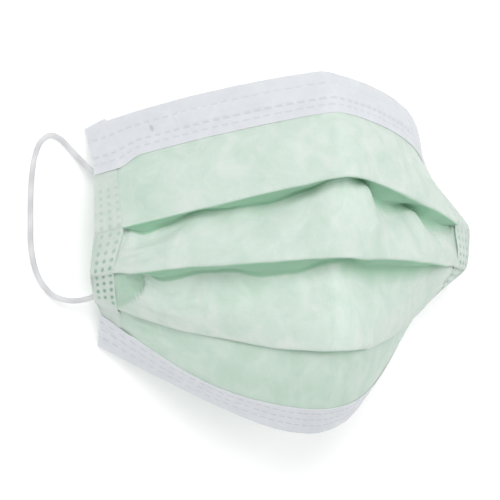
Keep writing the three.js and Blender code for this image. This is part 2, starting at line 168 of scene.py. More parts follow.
LOOP_LEAN = 0.35  # radians that the flat side leans each way as the loop goes
LOOP_LEAN_REACH = 19  # mm along the loop for a radian of the lean's wave
STITCH_PITCH = 0.9
STITCH_RELIEF = 0.03  # of the loop's own size
STITCH_SET_OFF = 1.2  # radians either way on its two sides
LOOP_HOLLOW = 0.14  # of its thickness, along the middle of both faces

# A three-cornered dent in the panel under the second pleat, beside the left hem
GUSSET_TIP = -70.3
GUSSET_TIP_BELOW = 7.2
GUSSET_BEND = 0.155  # its edge turns back by this much for each mm squared above and below its tip
GUSSET_EDGE = 1.5  # the dent fades out over this distance
GUSSET_TOP = (-4, -1)  # from none of it to all, measured down from the second fold edge
GUSSET_DEPTH = 1.7
ABOVE_GUSSET = -9  # stands for cloth too far above the dent to be in it

# How much painted shade, a deeper green, is laid on the cloth: at the valley of a pleat, on the next panel as
# it comes out, in the dent, on the first panel towards the left hem, and on the panel below the third pleat
VALLEY_SHADE = 0.75
CARRIED_SHADE = 0.6
GUSSET_SHADE = 0.45
LEFT_PANEL_SHADE = 0.13
LEFT_PANEL_SHADE_ACROSS = (-54, -74)  # mm across, from none of it to all
CHIN_PANEL_SHADE = 0.16

# Places across, as shares of the half width, from none of a thing to all of it
CROWN_FADE = (0.94, 0.8)  # the panels' crown
GATHERS_START = (0.5, 0.82)
GATHERS_END = (0.9, 0.85)
WIDER_OPEN = (0, 0.1)  # the right half's deeper openings
GATHER_STRETCH = 0.16  # share of the distance across that counts, which draws the gathers out sideways
BINDING_FADE = 6  # mm from a binding's free edge to where the cloth is fully uneven

# Rows of points down the cloth, in the order in which they follow each other
NOSE_ROWS = 20
PASSING_ROWS = 5
PANEL_ROWS = 28
RETURN_ROWS = 16
CHIN_PANEL_ROWS = 24
CHIN_ROWS = 16

# Other sampling, in mm from one point to the next
PANEL_STEP = 0.85
STRIP_STEP = 0.4
UNDERSIDE_STEP = 1.5

# The strips over the nose and chin edges: their width, the rows of dashes, how strongly these show, how
# much wider each runs over the left and right hem, how far its lapped left end stands past its edge, and
# where small welds hold the wire
STRIP_WIDTH = {"nose": NOSE_BINDING_WIDTH, "chin": CHIN_BINDING_WIDTH}
DASH_ROWS = {"nose": (5.1, 11.2, 13.9), "chin": (4.2, 7.4, 10.6)}
DASH_STRENGTH = {"nose": 0.5, "chin": 0.8}
STRIP_FLARE = {"nose": (0.2, 0.08), "chin": (0, 0)}
FLARE_RUN = (-10, 1)  # mm from the hem's free edge, over which it grows wider
LAP_RISE = {"nose": 1.1, "chin": 0}
LAP_SHORT = 0.5  # mm from the hem's free edge
LAP_REACH = 5  # mm of the strip that rise with its edge
HEM_LIFT_RUN = 2
HEM_LIFT_FROM = (5, 3)  # mm from the strip's free edge, where the hem's end lies under it
TACK_PLACES = {"nose": (-62, 58), "chin": ()}
DASH_PITCH = 3.6
DASH_LENGTH = 2.0
DASH_WIDTH = 0.3
DASH_SOFTNESS = 0.25
TACK_RADIUS = (0.9, 0.4)  # from plain cloth to pressed
PUCKER_LIFT = 0.05
FLAT_EDGE = 2.5  # mm of the strip's free edge that are welded flat

# Repeats of the materials' patterns, in mm
CLOUD_SIZE = 9
FIBRE_BUNDLE = 0.9  # single fibres are 0.02 mm thick, so bundles of them are drawn instead
BOND_PITCH = 1.5
YARN_SHADE = 16  # diagonal bands repeat every 0.63 of this
WIRE_GRAIN = 2
BOARD_GRAIN = 3

ORDER = ("nose_edge", "nose_bend", "first_fold", "second_fold", "third_fold", "chin_bend", "chin_edge")
FOLDS = {"first": "first_fold", "second": "second_fold", "third": "third_fold"}


def unit(vectors):
    """Each vector at length 1."""
    return vectors / np.maximum(np.linalg.norm(vectors, axis=-1, keepdims=True), 1e-9)


def smooth(low, high, value):
    """0 at low, 1 at high and an even ease between them. Low may be the greater of the two."""
    t = np.clip((value - low) / (high - low), 0, 1)
    return t * t * (3 - 2 * t)


def through(middle, half, seam, a):
    """One value through its middle, half-way and seam values; a is 0 at the middle and 1 at the seam."""
    return middle * 2 * (a - 0.5) * (a - 1) - half * 4 * a * (a - 1) + seam * 2 * a * (a - 0.5)


def line_points(line, across):
    """Points of a shaping line; across runs from -1 at the left seam to 1 at the right one."""
    spec = LINES[line]
    rounding = spec["round"]
    a = np.abs(across)
    soft = (np.hypot(across, rounding) - rounding) / (math.hypot(1, rounding) - rounding)
    right = np.array(spec.get("right_seam", spec["seam"]))
    seam = np.where(across[:, None] > 0, right, spec["seam"]).T
    out = np.sign(across) * HALF_WIDTH * through(0, spec["half"][0], seam[0], a)
    fore = HALF_LENGTH * through(spec["middle"][0], spec["half"][1], seam[1], soft)
    lift = DOME_HEIGHT * through(spec["middle"][1], spec["half"][2], seam[2], soft)
    return np.stack([out, fore, lift], -1)


def along_line(line, across):
    """Direction along a shaping line, towards +X."""
    step = 0.01
    return unit(line_points(line, across + step) - line_points(line, across - step))


def opening(pleat, across):
    """A pleat's drop and sink at places across the mask, in mm."""
    rows = np.array(PLEATS[pleat])
    at = np.clip(across, rows[0, 0], rows[-1, 0])
    k = np.clip(np.searchsorted(rows[:, 0], at) - 1, 0, len(rows) - 2)
    ease = smooth(0, 1, (at - rows[k, 0]) / (rows[k + 1, 0] - rows[k, 0]))[:, None]
    drop, sink = (rows[k, 1:] * (1 - ease) + rows[k + 1, 1:] * ease).T * PLEAT_DEPTH
    return drop, sink


def ripple(u, v, height, wavelength, seed, waves=24):
    """Random gentle unevenness over flat cloth, mostly within height of zero."""
    draw = np.random.default_rng(seed)
    total = 0 * (u + v)
    for _ in range(waves):
        angle, phase = draw.uniform(0, 2 * math.pi, 2)
        size = wavelength * draw.uniform(0.7, 1.6)
        total = total + np.sin((u * math.cos(angle) + v * math.sin(angle)) * 2 * math.pi / size + phase)
    return total / math.sqrt(waves) * height


def softened(points, passes):
    """The points of each section with their corners rounded; the ends stay."""
    for _ in range(passes):
        middle = (points[:, :-2] + 2 * points[:, 1:-1] + points[:, 2:]) / 4
        points = np.concatenate([points[:, :1], middle, points[:, -1:]], axis=1)
    return points


def normals_of(points):
    """Outward directions of a grid of points, stations towards +X and places from nose to chin."""
    along = np.gradient(points, axis=0)
    down = np.gradient(points, axis=1)
    return unit(np.cross(down, along))


def skin(across, distances, edge):
    """Points, outward and inward directions of the unpleated surface,
    at distances from the nose edge or the chin edge; all arrays are stations by places."""
    order = ORDER if edge == "nose" else ORDER[::-1]
    corners = np.stack([line_points(line, across) for line in order], axis=1)
    alongs = np.stack([along_line(line, across) for line in order], axis=1)
    spans = np.linalg.norm(np.diff(corners, axis=1), axis=2)
    reached = np.concatenate([np.zeros((len(across), 1)), np.cumsum(spans, axis=1)], axis=1)
    distances = np.broadcast_to(distances, (len(across), np.shape(distances)[-1]))
    inside = np.maximum(distances, 0)
    k = np.clip((inside[:, :, None] >= reached[:, None, 1:-1]).sum(2), 0, len(order) - 2)
    row = np.arange(len(across))[:, None]
    share = ((inside - reached[row, k]) / spans[row, k])[..., None]
    step = corners[row, k + 1] - corners[row, k]
    points = corners[row, k] + share * step
    inwards = unit(step)
    along = alongs[row, k] * (1 - share) + alongs[row, k + 1] * share
    outward = unit(np.cross(inwards if edge == "nose" else -inwards, along))
    points = points + inwards * np.minimum(distances, 0)[..., None]
    return points, outward, inwards


def distance_to(line, across):
    """Distance down the unpleated surface from the nose edge to a shaping line."""
    chain = [line_points(one, across) for one in ORDER[: ORDER.index(line) + 1]]
    return sum(np.linalg.norm(b - a, axis=1) for a, b in zip(chain, chain[1:]))


def stretch(start, end, count, outward, height):
    """Sections' places from start to end, swelling outwards by height; the start is left out."""
    t = (np.arange(1, count + 1) / count)[None, :, None]
    swell = np.sin(math.pi * t) * np.reshape(height, (-1, 1, 1))
    return start[:, None] * (1 - t) + end[:, None] * t + outward[:, None] * swell


def solid_mesh(name, middle, thickness, cloth, pressed, painted_shade, material):
    """A closed cloth piece, half its thickness on each side of its middle surface, sunk where pressed."""
    half = normals_of(middle) * thickness / 2
    sunk = half * (pressed[..., None] * PRESS_DEPTH * 2 / thickness)
    both = np.stack([middle + half - sunk, middle - half - sunk])
    both[..., 2] = np.maximum(both[..., 2], TABLE_GAP)
    stations, places = middle.shape[:2]
    index = np.arange(2 * stations * places).reshape(2, stations, places)

    def quads(a, b, c, d):
        return np.stack([a, b, c, d], -1).reshape(-1, 4)

    top, under = index
    faces = [
        quads(top[:-1, :-1], top[:-1, 1:], top[1:, 1:], top[1:, :-1]),
        quads(under[:-1, :-1], under[1:, :-1], under[1:, 1:], under[:-1, 1:]),
        quads(top[:-1, 0], top[1:, 0], under[1:, 0], under[:-1, 0]),
        quads(top[:-1, -1], under[:-1, -1], under[1:, -1], top[1:, -1]),
        quads(top[0, :-1], under[0, :-1], under[0, 1:], top[0, 1:]),
        quads(top[-1, :-1], top[-1, 1:], under[-1, 1:], under[-1, :-1]),
    ]
    piece = mesh_piece(name, both.reshape(-1, 3), np.concatenate(faces), material)
    # the painted shade goes with the mesh as a per-point value
    for label, values in (("pressed", pressed), ("painted_shade", painted_shade)):
        both_sides = np.stack([values, values]).astype(np.float32)
        piece.data.attributes.new(label, "FLOAT", "POINT").data.foreach_set("value", both_sides.ravel())
    flat = np.stack([cloth, cloth]).reshape(-1, 2) * MM
    flat = np.column_stack([flat, np.zeros(len(flat))]).astype(np.float32)
    piece.data.attributes.new("cloth", "FLOAT_VECTOR", "POINT").data.foreach_set("vector", flat.ravel())
    return piece


def mesh_piece(name, points, faces, material):
    """An object of the mask, smooth apart from its cut edges, that rides on the part's one body."""
    mesh = bpy.data.meshes.new(name)
    mesh.from_pydata((points * MM).tolist(), [], faces.tolist())
    mesh.shade_smooth()
    mesh.set_sharp_from_angle(angle=math.radians(SHARP_ANGLE))
    mesh.materials.append(material)
    piece = bpy.data.objects.new(name, mesh)
    bpy.context.scene.collection.objects.link(piece)
    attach(piece, "root")
    return piece


def linear(code):
    """An sRGB hex colour as linear red, green, blue and alpha."""
    parts = [int(code[k : k + 2], 16) / 255 for k in (1, 3, 5)]
    return tuple(c / 12.92 if c <= 0.04045 else ((c + 0.055) / 1.055) ** 2.4 for c in parts) + (1,)


def add_node(tree, kind, settings=(), links=()):
    """Adds one node. Settings are its own values or its inputs' values, and links feed its inputs."""
    node = tree.nodes.new(kind)
    for key, value in dict(settings).items():
        if isinstance(key, str) and hasattr(node, key):
            setattr(node, key, value)
        else:
            node.inputs[key].default_value = value
    for key, source in dict(links).items():
        tree.links.new(source, node.inputs[key])
    return node


def blank_material(name):
    """A new material's node tree without its first nodes."""
    material = bpy.data.materials.new(name)
    material.use_nodes = True
    material.node_tree.nodes.clear()
    return material, material.node_tree


def per_mm(size):
    """Scale of a pattern whose repeat is this many mm."""
    return 1 / (size * MM)


def spunbond(name, pale, deep, weld_colour, painted_shade_colour, glow):
    """Spunbond polypropylene: fine matt fibres laid at random and bonded by rows of small hot points.
    It looks cloudy where the web is thicker, and pressed places turn glassy and darker.
    Painted shade: where the cloth lies in a pleat's opening or other shade, its colour is mixed towards a
    deeper green."""
    material, tree = blank_material(name)
    place = add_node(tree, "ShaderNodeAttribute", {"attribute_name": "cloth"}).outputs["Vector"]
    pressed = add_node(tree, "ShaderNodeAttribute", {"attribute_name": "pressed"}).outputs["Fac"]
    painted_shade = add_node(tree, "ShaderNodeAttribute", {"attribute_name": "painted_shade"}).outputs["Fac"]
    clouds = add_node(
        tree, "ShaderNodeTexNoise",
        {"Scale": per_mm(CLOUD_SIZE), "Detail": 5, "Roughness": 0.62, "Distortion": 0.6},
        {"Vector": place},
    ).outputs["Fac"]
    fibres = add_node(
        tree, "ShaderNodeTexNoise",
        {"Scale": per_mm(FIBRE_BUNDLE), "Detail": 4, "Roughness": 0.7, "Distortion": 2.5},
        {"Vector": place},
    ).outputs["Fac"]
    bonds = add_node(
        tree, "ShaderNodeTexVoronoi", {"Scale": per_mm(BOND_PITCH), "Randomness": 0.12}, {"Vector": place},
    ).outputs["Distance"]
    bond_dots = add_node(
        tree, "ShaderNodeMapRange", {"From Min": 0.12, "From Max": 0.3, "To Min": 1, "To Max": 0},
        {"Value": bonds},
    ).outputs["Result"]
    mixed = add_node(
        tree, "ShaderNodeMath", {"operation": "MULTIPLY_ADD", 1: 0.3}, {0: fibres, 2: clouds}
    ).outputs["Value"]
    # The sum of both noises keeps mostly between the ramp's two positions
    ramp = add_node(tree, "ShaderNodeValToRGB", {}, {"Fac": mixed})
    ramp.color_ramp.elements[0].position = 0.47
    ramp.color_ramp.elements[0].color = linear(deep)
    ramp.color_ramp.elements[1].position = 0.82
    ramp.color_ramp.elements[1].color = linear(pale)
    # A mix of colours takes its share on input 0 and the colours on inputs 6 and 7
    # painted shade: the deeper colour is mixed in where the cloth's per-point value marks shade
    shown = add_node(
        tree, "ShaderNodeMix", {"data_type": "RGBA", 7: linear(painted_shade_colour)},
        {0: painted_shade, 6: ramp.outputs["Color"]},
    ).outputs[2]
    welded = add_node(
        tree, "ShaderNodeMix", {"data_type": "RGBA", 7: linear(weld_colour)}, {0: pressed, 6: shown},
    ).outputs[2]
    height = add_node(
        tree, "ShaderNodeMath", {"operation": "MULTIPLY_ADD", 1: -0.5}, {0: bond_dots, 2: fibres}
    ).outputs["Value"]
    bump = add_node(
        tree, "ShaderNodeBump", {"Strength": 0.35, "Distance": 0.12 * MM}, {"Height": height}
    ).outputs["Normal"]
    shader = add_node(
        tree, "ShaderNodeBsdfPrincipled",
        {"Roughness": 0.78, "IOR": 1.49, "Sheen Weight": 0.12, "Sheen Roughness": 0.5,
         "Subsurface Weight": glow, "Subsurface Radius": (0.85, 1.0, 0.9), "Subsurface Scale": 0.9 * MM},
        {"Base Color": welded, "Normal": bump},
    ).outputs["BSDF"]
    add_node(tree, "ShaderNodeOutputMaterial", {}, {"Surface": shader})
    return material


def knitted_elastic(name, pale, deep):
    """Warp-knitted polyester over elastane: dull white yarn whose shade drifts in slanting bands.
    The stitches themselves are in the mesh."""
    material, tree = blank_material(name)
    place = add_node(tree, "ShaderNodeAttribute", {"attribute_name": "cloth"}).outputs["Vector"]
    bands = add_node(
        tree, "ShaderNodeTexWave",
        {"wave_type": "BANDS", "bands_direction": "DIAGONAL", "Scale": per_mm(YARN_SHADE), "Distortion": 1.5},
        {"Vector": place},
    ).outputs["Fac"]
    ramp = add_node(tree, "ShaderNodeValToRGB", {}, {"Fac": bands})
    ramp.color_ramp.elements[0].color = linear(deep)
    ramp.color_ramp.elements[1].color = linear(pale)
    bump = add_node(
        tree, "ShaderNodeBump", {"Strength": 0.6, "Distance": 0.15 * MM}, {"Height": bands}
    ).outputs["Normal"]
    shader = add_node(
        tree, "ShaderNodeBsdfPrincipled", {"Roughness": 0.85, "IOR": 1.5, "Sheen Weight": 0.2},
        {"Base Color": ramp.outputs["Color"], "Normal": bump},
    ).outputs["BSDF"]
    add_node(tree, "ShaderNodeOutputMaterial", {}, {"Surface": shader})
    return material


def coated_wire(name, coat):
    """Steel strip in a smooth polyethylene coat, extruded and slightly satin."""
    material, tree = blank_material(name)
    grain = add_node(tree, "ShaderNodeTexNoise", {"Scale": per_mm(WIRE_GRAIN), "Detail": 2}).outputs["Fac"]
    bump = add_node(
        tree, "ShaderNodeBump", {"Strength": 0.2, "Distance": 0.05 * MM}, {"Height": grain}
    ).outputs["Normal"]
    shader = add_node(
        tree, "ShaderNodeBsdfPrincipled", {"Base Color": linear(coat), "Roughness": 0.4, "IOR": 1.51},
        {"Normal": bump},
    ).outputs["BSDF"]
    add_node(tree, "ShaderNodeOutputMaterial", {}, {"Surface": shader})
    return material


def acrylic_board(name, colour):
    """Opal acrylic board under the mask: cast, rubbed matt and lit a little from behind."""
    material, tree = blank_material(name)
    grain = add_node(tree, "ShaderNodeTexNoise", {"Scale": per_mm(BOARD_GRAIN), "Detail": 3}).outputs["Fac"]
    bump = add_node(
        tree, "ShaderNodeBump", {"Strength": 0.05, "Distance": 0.05 * MM}, {"Height": grain}
    ).outputs["Normal"]
    shader = add_node(
        tree, "ShaderNodeBsdfPrincipled",
        {"Base Color": linear(colour), "Roughness": 0.9,
         "Emission Color": (1, 1, 1, 1), "Emission Strength": 0.2},
        {"Normal": bump},
    ).outputs["BSDF"]
    add_node(tree, "ShaderNodeOutputMaterial", {}, {"Surface": shader})
    return material


# A deeper green, painted on as shade in the pleats' openings and other shaded places
PAINTED_SHADE_GREEN = "#8CBE9E"
GREEN_SPUNBOND = spunbond(
    "green_spunbond_polypropylene", pale="#DAE4DD", deep="#C8DACE", weld_colour="#9CC2AC",
    painted_shade_colour=PAINTED_SHADE_GREEN, glow=0.4,
)
HEM_SPUNBOND = spunbond(
    "welded_spunbond_polypropylene", pale="#D8E3DC", deep="#C9DACF", weld_colour="#86B098",
    painted_shade_colour=PAINTED_SHADE_GREEN, glow=0.4,
)
WHITE_SPUNBOND = spunbond(
    "white_spunbond_polypropylene", pale="#E3E7EB", deep="#DBDFE4", weld_colour="#C2CAD4",
    painted_shade_colour="#DBDFE4", glow=0.3,
)
ELASTIC = knitted_elastic("knitted_polyester_elastic", pale="#E4E4E6", deep="#D6D6D9")
WIRE_COAT = coated_wire("polyethylene_coated_steel", "#E8E8E8")


def gusset(u, below):
    """Which cloth is dented beside the left hem, at distances below the second fold edge,
    and how deep it is dented there."""
    bound = GUSSET_TIP - GUSSET_BEND * (below - GUSSET_TIP_BELOW) ** 2
    hem_edge = HEM_WIDTH - CLOTH_HALF_WIDTH
    inside = smooth(bound, bound - GUSSET_EDGE, u) * smooth(*GUSSET_TOP, below)
    deep = GUSSET_DEPTH * np.clip((u - hem_edge) / (GUSSET_TIP - hem_edge), 0, 1)
    return inside, inside * deep


def folded_cloth(across):
    """The cloth's middle surface, folded back and forth at each pleat, how much painted shade it has at each
    place, and in which row the panel under the second pleat starts."""
    crowned = smooth(*CROWN_FADE, np.abs(across))
    layer_step = CLOTH_THICKNESS + LAYER_GAP
    nose_span = np.linalg.norm(line_points("nose_bend", across) - line_points("nose_edge", across), axis=1)
    nose_rows = np.linspace(0, 1, NOSE_ROWS)[None] * nose_span[:, None]
    parts = [skin(across, nose_rows, "nose")[0]]
    none = np.zeros((len(across), 1))
    painted_shade = [none.repeat(NOSE_ROWS, axis=1)]
    carried_shade = none.repeat(PASSING_ROWS, axis=1)
    # a pleat's fold edge, the rows behind it and its valley
    hidden_rows = RETURN_ROWS + 2
    # painted shade on the return layer of each opening: none at the fold edge, full just behind it, less at
    # the valley
    return_shade = smooth(0, 2, np.arange(hidden_rows)) * np.linspace(1, VALLEY_SHADE, hidden_rows)
    above = line_points("nose_bend", across)
    passing = above
    for pleat, line in FOLDS.items():
        edge = line_points(line, across)
        up = unit(above - edge)
        along = along_line(line, across)
        outward = unit(np.cross(along, up))
        drop, sink = opening(pleat, across)
        valley = edge - up * drop[:, None] - outward * sink[:, None]
        back = unit(valley - edge)
        beyond = unit(np.cross(along, back))
        edge_back = edge - layer_step * beyond
        valley_back = valley - layer_step * beyond
        parts.append(stretch(above, passing, PASSING_ROWS, outward, 0 * crowned))
        parts.append(stretch(passing, edge, PANEL_ROWS, outward, CROWNS[pleat] * crowned))
        parts.append(edge_back[:, None])
        parts.append(stretch(edge_back, valley, RETURN_ROWS, outward, 0 * crowned))
        parts.append(valley_back[:, None])
        painted_shade += [carried_shade, none.repeat(PANEL_ROWS, axis=1), none + return_shade]
        # the right half stands open wider, so the painted shade reaches further down the next panel
        carried_shade = smooth(*WIDER_OPEN, across)[:, None] * np.linspace(CARRIED_SHADE, 0, PASSING_ROWS)
        if pleat == "second":
            second_starts = sum(part.shape[1] for part in parts)
        above = valley_back
        # under a closed pleat the next panel keeps close behind the fold edge
        closed = smooth(0, CLOSED_RISE * PLEAT_DEPTH, -drop)[:, None]
        behind = edge - outward * 2 * layer_step
        following = line_points(ORDER[ORDER.index(line) + 1], across)
        passing = (above * (1 - PASSING_SHARE) + following * PASSING_SHARE) * (1 - closed) + behind * closed
    chin_bend = line_points("chin_bend", across)
    parts.append(stretch(above, passing, PASSING_ROWS, outward, 0 * crowned))
    parts.append(stretch(passing, chin_bend, CHIN_PANEL_ROWS, outward, CROWNS["chin"] * crowned)[:, :-1])
    chin_span = np.linalg.norm(line_points("chin_edge", across) - chin_bend, axis=1)
    chin_rows = np.linspace(1, 0, CHIN_ROWS)[None] * chin_span[:, None]
    parts.append(skin(across, chin_rows, "chin")[0])
    # a little painted shade over the panel below the third pleat and the chin
    below_third_shade = none.repeat(PASSING_ROWS + CHIN_PANEL_ROWS - 1 + CHIN_ROWS, axis=1) + CHIN_PANEL_SHADE
    painted_shade = np.concatenate(painted_shade + [below_third_shade], axis=1)
    return softened(np.concatenate(parts, axis=1), 2), painted_shade, second_starts


def pleated_panel():
    """The green body: the folded cloth with its uneven surface, gathered and dented beside the hems."""
    end = 1 - CLOTH_SHORT / CLOTH_HALF_WIDTH
    across = np.linspace(-end, end, int(2 * end * CLOTH_HALF_WIDTH / PANEL_STEP))
    middle, painted_shade, second_starts = folded_cloth(across)
    spans = np.linalg.norm(np.diff(middle, axis=1), axis=2)
    down = np.concatenate([np.zeros((len(across), 1)), np.cumsum(spans, axis=1)], axis=1)
    u = across[:, None] * CLOTH_HALF_WIDTH + 0 * down
    v = 0 * u + down.mean(axis=0)[None]
    away = np.abs(across)[:, None]
    up_from_chin = down[:, -1:] - down
    open_cloth = smooth(NOSE_BINDING_WIDTH, NOSE_BINDING_WIDTH + BINDING_FADE, down)
    open_cloth = open_cloth * smooth(CHIN_BINDING_WIDTH, CHIN_BINDING_WIDTH + BINDING_FADE, up_from_chin)
    uneven = ripple(u, v, height=0.24, wavelength=26, seed=3)
    uneven = uneven + ripple(u, v, height=0.08, wavelength=9, seed=4)
    gathered = smooth(*GATHERS_START, away) * smooth(*GATHERS_END, away)
    gathers = gathered * ripple(u * GATHER_STRETCH, v, height=0.22, wavelength=5, seed=9)
    uneven = uneven * smooth(*CROWN_FADE, away) + gathers
    second_edge = line_points("second_fold", across)
    downwards = unit(line_points("third_fold", across) - second_edge)
    below_second = ((middle - second_edge[:, None]) * downwards[:, None]).sum(-1)
    below_second[:, :second_starts] = ABOVE_GUSSET
    dented, dent = gusset(u, below_second)
    middle = middle + normals_of(middle) * ((uneven - dent) * open_cloth)[..., None]
    # painted shade in the dent
    painted_shade = np.maximum(painted_shade, GUSSET_SHADE * dented)
    # painted shade on the first panel, growing towards the left hem
    first_panel_shade = painted_shade[:, : NOSE_ROWS + PASSING_ROWS + PANEL_ROWS]
    first_panel_shade[:] = np.maximum(first_panel_shade, LEFT_PANEL_SHADE * smooth(*LEFT_PANEL_SHADE_ACROSS, u[:, :1]))
    cloth = np.stack([u, v], -1)
    piece = solid_mesh(
        "pleated_cloth", middle, CLOTH_THICKNESS, cloth, 0 * u, painted_shade, GREEN_SPUNBOND
    )
    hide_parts("pleated_panel")
    return piece


def dashes(u, v, rows):
    """Pressed dashes in rows at distances v along u, from 0 on plain cloth to 1 in a dash."""
    total = 0 * u
    for k, row in enumerate(rows):
        along = np.abs((u + k * DASH_PITCH / 3) % DASH_PITCH - DASH_PITCH / 2)
        in_length = smooth(DASH_LENGTH / 2 + DASH_SOFTNESS, DASH_LENGTH / 2, along)
        in_width = smooth(DASH_WIDTH / 2 + DASH_SOFTNESS, DASH_WIDTH / 2, np.abs(v - row))
        total = total + in_length * in_width
    return np.clip(total, 0, 1)


def binding(name, node, edge):
    """A white strip folded over the nose or chin edge and welded down by rows of dashes."""
    width = STRIP_WIDTH[edge]
    across = np.linspace(-1, 1, int(2 * CLOTH_HALF_WIDTH / STRIP_STEP))
    near = CLOTH_THICKNESS / 2 + AIR + STRIP_THICKNESS / 2
    outside = np.arange(width, 0, -STRIP_STEP)
    turn = np.linspace(0, math.pi, 8)
    inside = np.arange(0, width, UNDERSIDE_STEP)
    distances = np.concatenate([outside, -near * np.sin(turn), inside[1:]])
    offsets = np.concatenate([0 * outside + near, near * np.cos(turn), 0 * inside[1:] - near])
    on_top = (offsets > 0) + 0 * across[:, None]
    u = across[:, None] * CLOTH_HALF_WIDTH + 0 * distances[None]
    v = 0 * u + distances[None]
    hem_edge = CLOTH_HALF_WIDTH - HEM_WIDTH
    past_hem_edge = np.abs(u) - hem_edge
    flare = np.where(u < 0, *STRIP_FLARE[edge]) * smooth(*FLARE_RUN, past_hem_edge)
    lap = LAP_RISE[edge] * smooth(-CLOTH_HALF_WIDTH, -hem_edge - LAP_SHORT, u) * (u < -hem_edge)
    points, outward, _ = skin(across, v * (1 + flare * on_top) - lap * smooth(LAP_REACH, 0, v), edge)
    beside_wire = np.abs(v - WIRE_FROM_EDGE) - WIRE_WIDTH / 2
    past_wire = np.abs(u) - WIRE_LENGTH / 2
    over_wire = smooth(WIRE_EASE[0], 0, beside_wire) * smooth(WIRE_EASE[1], 0, past_wire) * (edge == "nose")
    from_free_edge = width - v
    over_hem = smooth(-HEM_LIFT_RUN, 0, past_hem_edge) * smooth(*HEM_LIFT_FROM, from_free_edge)
    raised = over_wire * (WIRE_THICKNESS + AIR) + over_hem * HEM_LIFT
    puckers = ripple(u, v, height=0.06, wavelength=7, seed=11)
    puckers = puckers + ripple(u, v * 0.4, height=0.1, wavelength=16, seed=12)
    # they lift the strip more than they sink it
    puckers = np.maximum(puckers + PUCKER_LIFT, -PUCKER_LIFT) * smooth(0, FLAT_EDGE, from_free_edge)
    middle = points + outward * (offsets[None] + on_top * (raised + puckers))[..., None]
    pressed = DASH_STRENGTH[edge] * dashes(u, v, DASH_ROWS[edge])
    for place in TACK_PLACES[edge]:
        tack = smooth(*TACK_RADIUS, np.hypot(u - place, (v - WIRE_FROM_EDGE) / 2))
        pressed = np.maximum(pressed, tack)
    pressed = on_top * pressed
    cloth = np.stack([u, v * np.where(on_top > 0, 1, -1)], -1)
    if edge == "nose":
        middle, pressed, cloth = middle[:, ::-1], pressed[:, ::-1], cloth[:, ::-1]
    piece = solid_mesh(name, middle, STRIP_THICKNESS, cloth, pressed, 0 * u, WHITE_SPUNBOND)
    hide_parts(node)
    return piece


def side_hem(name, node, side):
    """The strip folded round the gathered side of the cloth, welded by three columns of dots."""
    near = CLOTH_THICKNESS / 2 + AIR + STRIP_THICKNESS / 2
    top = np.arange(HEM_WIDTH, 0, -STRIP_STEP)
    turn = np.linspace(0, math.pi, 9)
    under = np.arange(0, HEM_WIDTH, UNDERSIDE_STEP)
    radius = (near - HEM_UNDERSIDE) / 2
    from_side = np.concatenate([top, -HEM_TURN * radius * np.sin(turn), under[1:]])
    turned = near - radius + radius * np.cos(turn)
    offsets = np.concatenate([0 * top + near, turned, 0 * under[1:] + HEM_UNDERSIDE])
    on_top = offsets > near - 0.01
    start = NOSE_BINDING_WIDTH - TUCKED_IN
    ruled = np.linspace(0, HEM_WIDTH, 25)
    across = side * (1 - ruled / CLOTH_HALF_WIDTH)
    share = np.linspace(0, 1, HEM_ROWS)[None]
    whole = distance_to("chin_edge", across)[:, None]
    distances = start + share * (whole - CHIN_BINDING_WIDTH + TUCKED_IN - start)
    points, outward, _ = skin(across, distances, "nose")
    points = softened(points, HEM_SOFTENING)
    swell = HEM_SWELL[name] * np.sin(math.pi * share)[..., None] * (1 - ruled / HEM_WIDTH)[:, None, None]
    points = points + swell * np.array([side, 0, 0])
    folds = np.stack([distance_to(line, across) for line in FOLDS.values()], axis=1)
    # the strip narrows towards the chin
    taken = from_side[:, None] * (1 - HEM_TAPER * smooth(*HEM_NARROWS, share)) / ruled[1]
    lower = np.clip(taken.astype(int), 0, len(ruled) - 2)
    between = (taken - lower)[..., None]
    place = np.arange(HEM_ROWS)[None]
    points = points[lower, place] * (1 - between) + points[lower + 1, place] * between
    outward = unit(outward[lower, place] * (1 - between) + outward[lower + 1, place] * between)
    distances = distances[lower, place]
    folds = folds[lower[:, 0]]
    # each fold edge under the strip shows as a small step
    step = 0 * distances
    for k in range(folds.shape[1]):
        past = distances - folds[:, k : k + 1]
        step = step - FOLD_STEP * smooth(0, FOLD_STEP_RUN, past) * smooth(*FOLD_STEP_FADE, past)
    step = step - HEM_EDGE_DROP * smooth(HEM_WIDTH - 0.8, HEM_WIDTH, from_side)[:, None]
    u = 0 * distances + from_side[:, None]
    v = distances
    middle = points + outward * (offsets[:, None] + step * on_top[:, None])[..., None]
    # the dots are faint near the nose and stop short of the strips
    strength = FAINT_DOTS + (1 - FAINT_DOTS) * smooth(*DOTS_STRENGTHEN, v)
    strength = strength * smooth(*DOTS_BELOW_STRIP, v - NOSE_BINDING_WIDTH)
    strength = strength * smooth(*DOTS_ABOVE_FOLD, v - folds[:, 2:3])
    dots = 0 * u
    for column in DOT_COLUMNS:
        off_column = (u - column) / DOT_HALF_SIZE[0]
        off_row = (v % DOT_PITCH - DOT_PITCH / 2) / DOT_HALF_SIZE[1]
        dots = dots + smooth(*DOT_RIM, np.hypot(off_column, off_row))
    pressed = np.clip(dots, 0, 1) * strength * on_top[:, None]
    cloth = np.stack([u, v], -1)
    if side < 0:
        middle, pressed, cloth = middle[::-1], pressed[::-1], cloth[::-1]
    piece = solid_mesh(name, middle, STRIP_THICKNESS, cloth, pressed, 0 * u, HEM_SPUNBOND)
    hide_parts(node)
    return piece


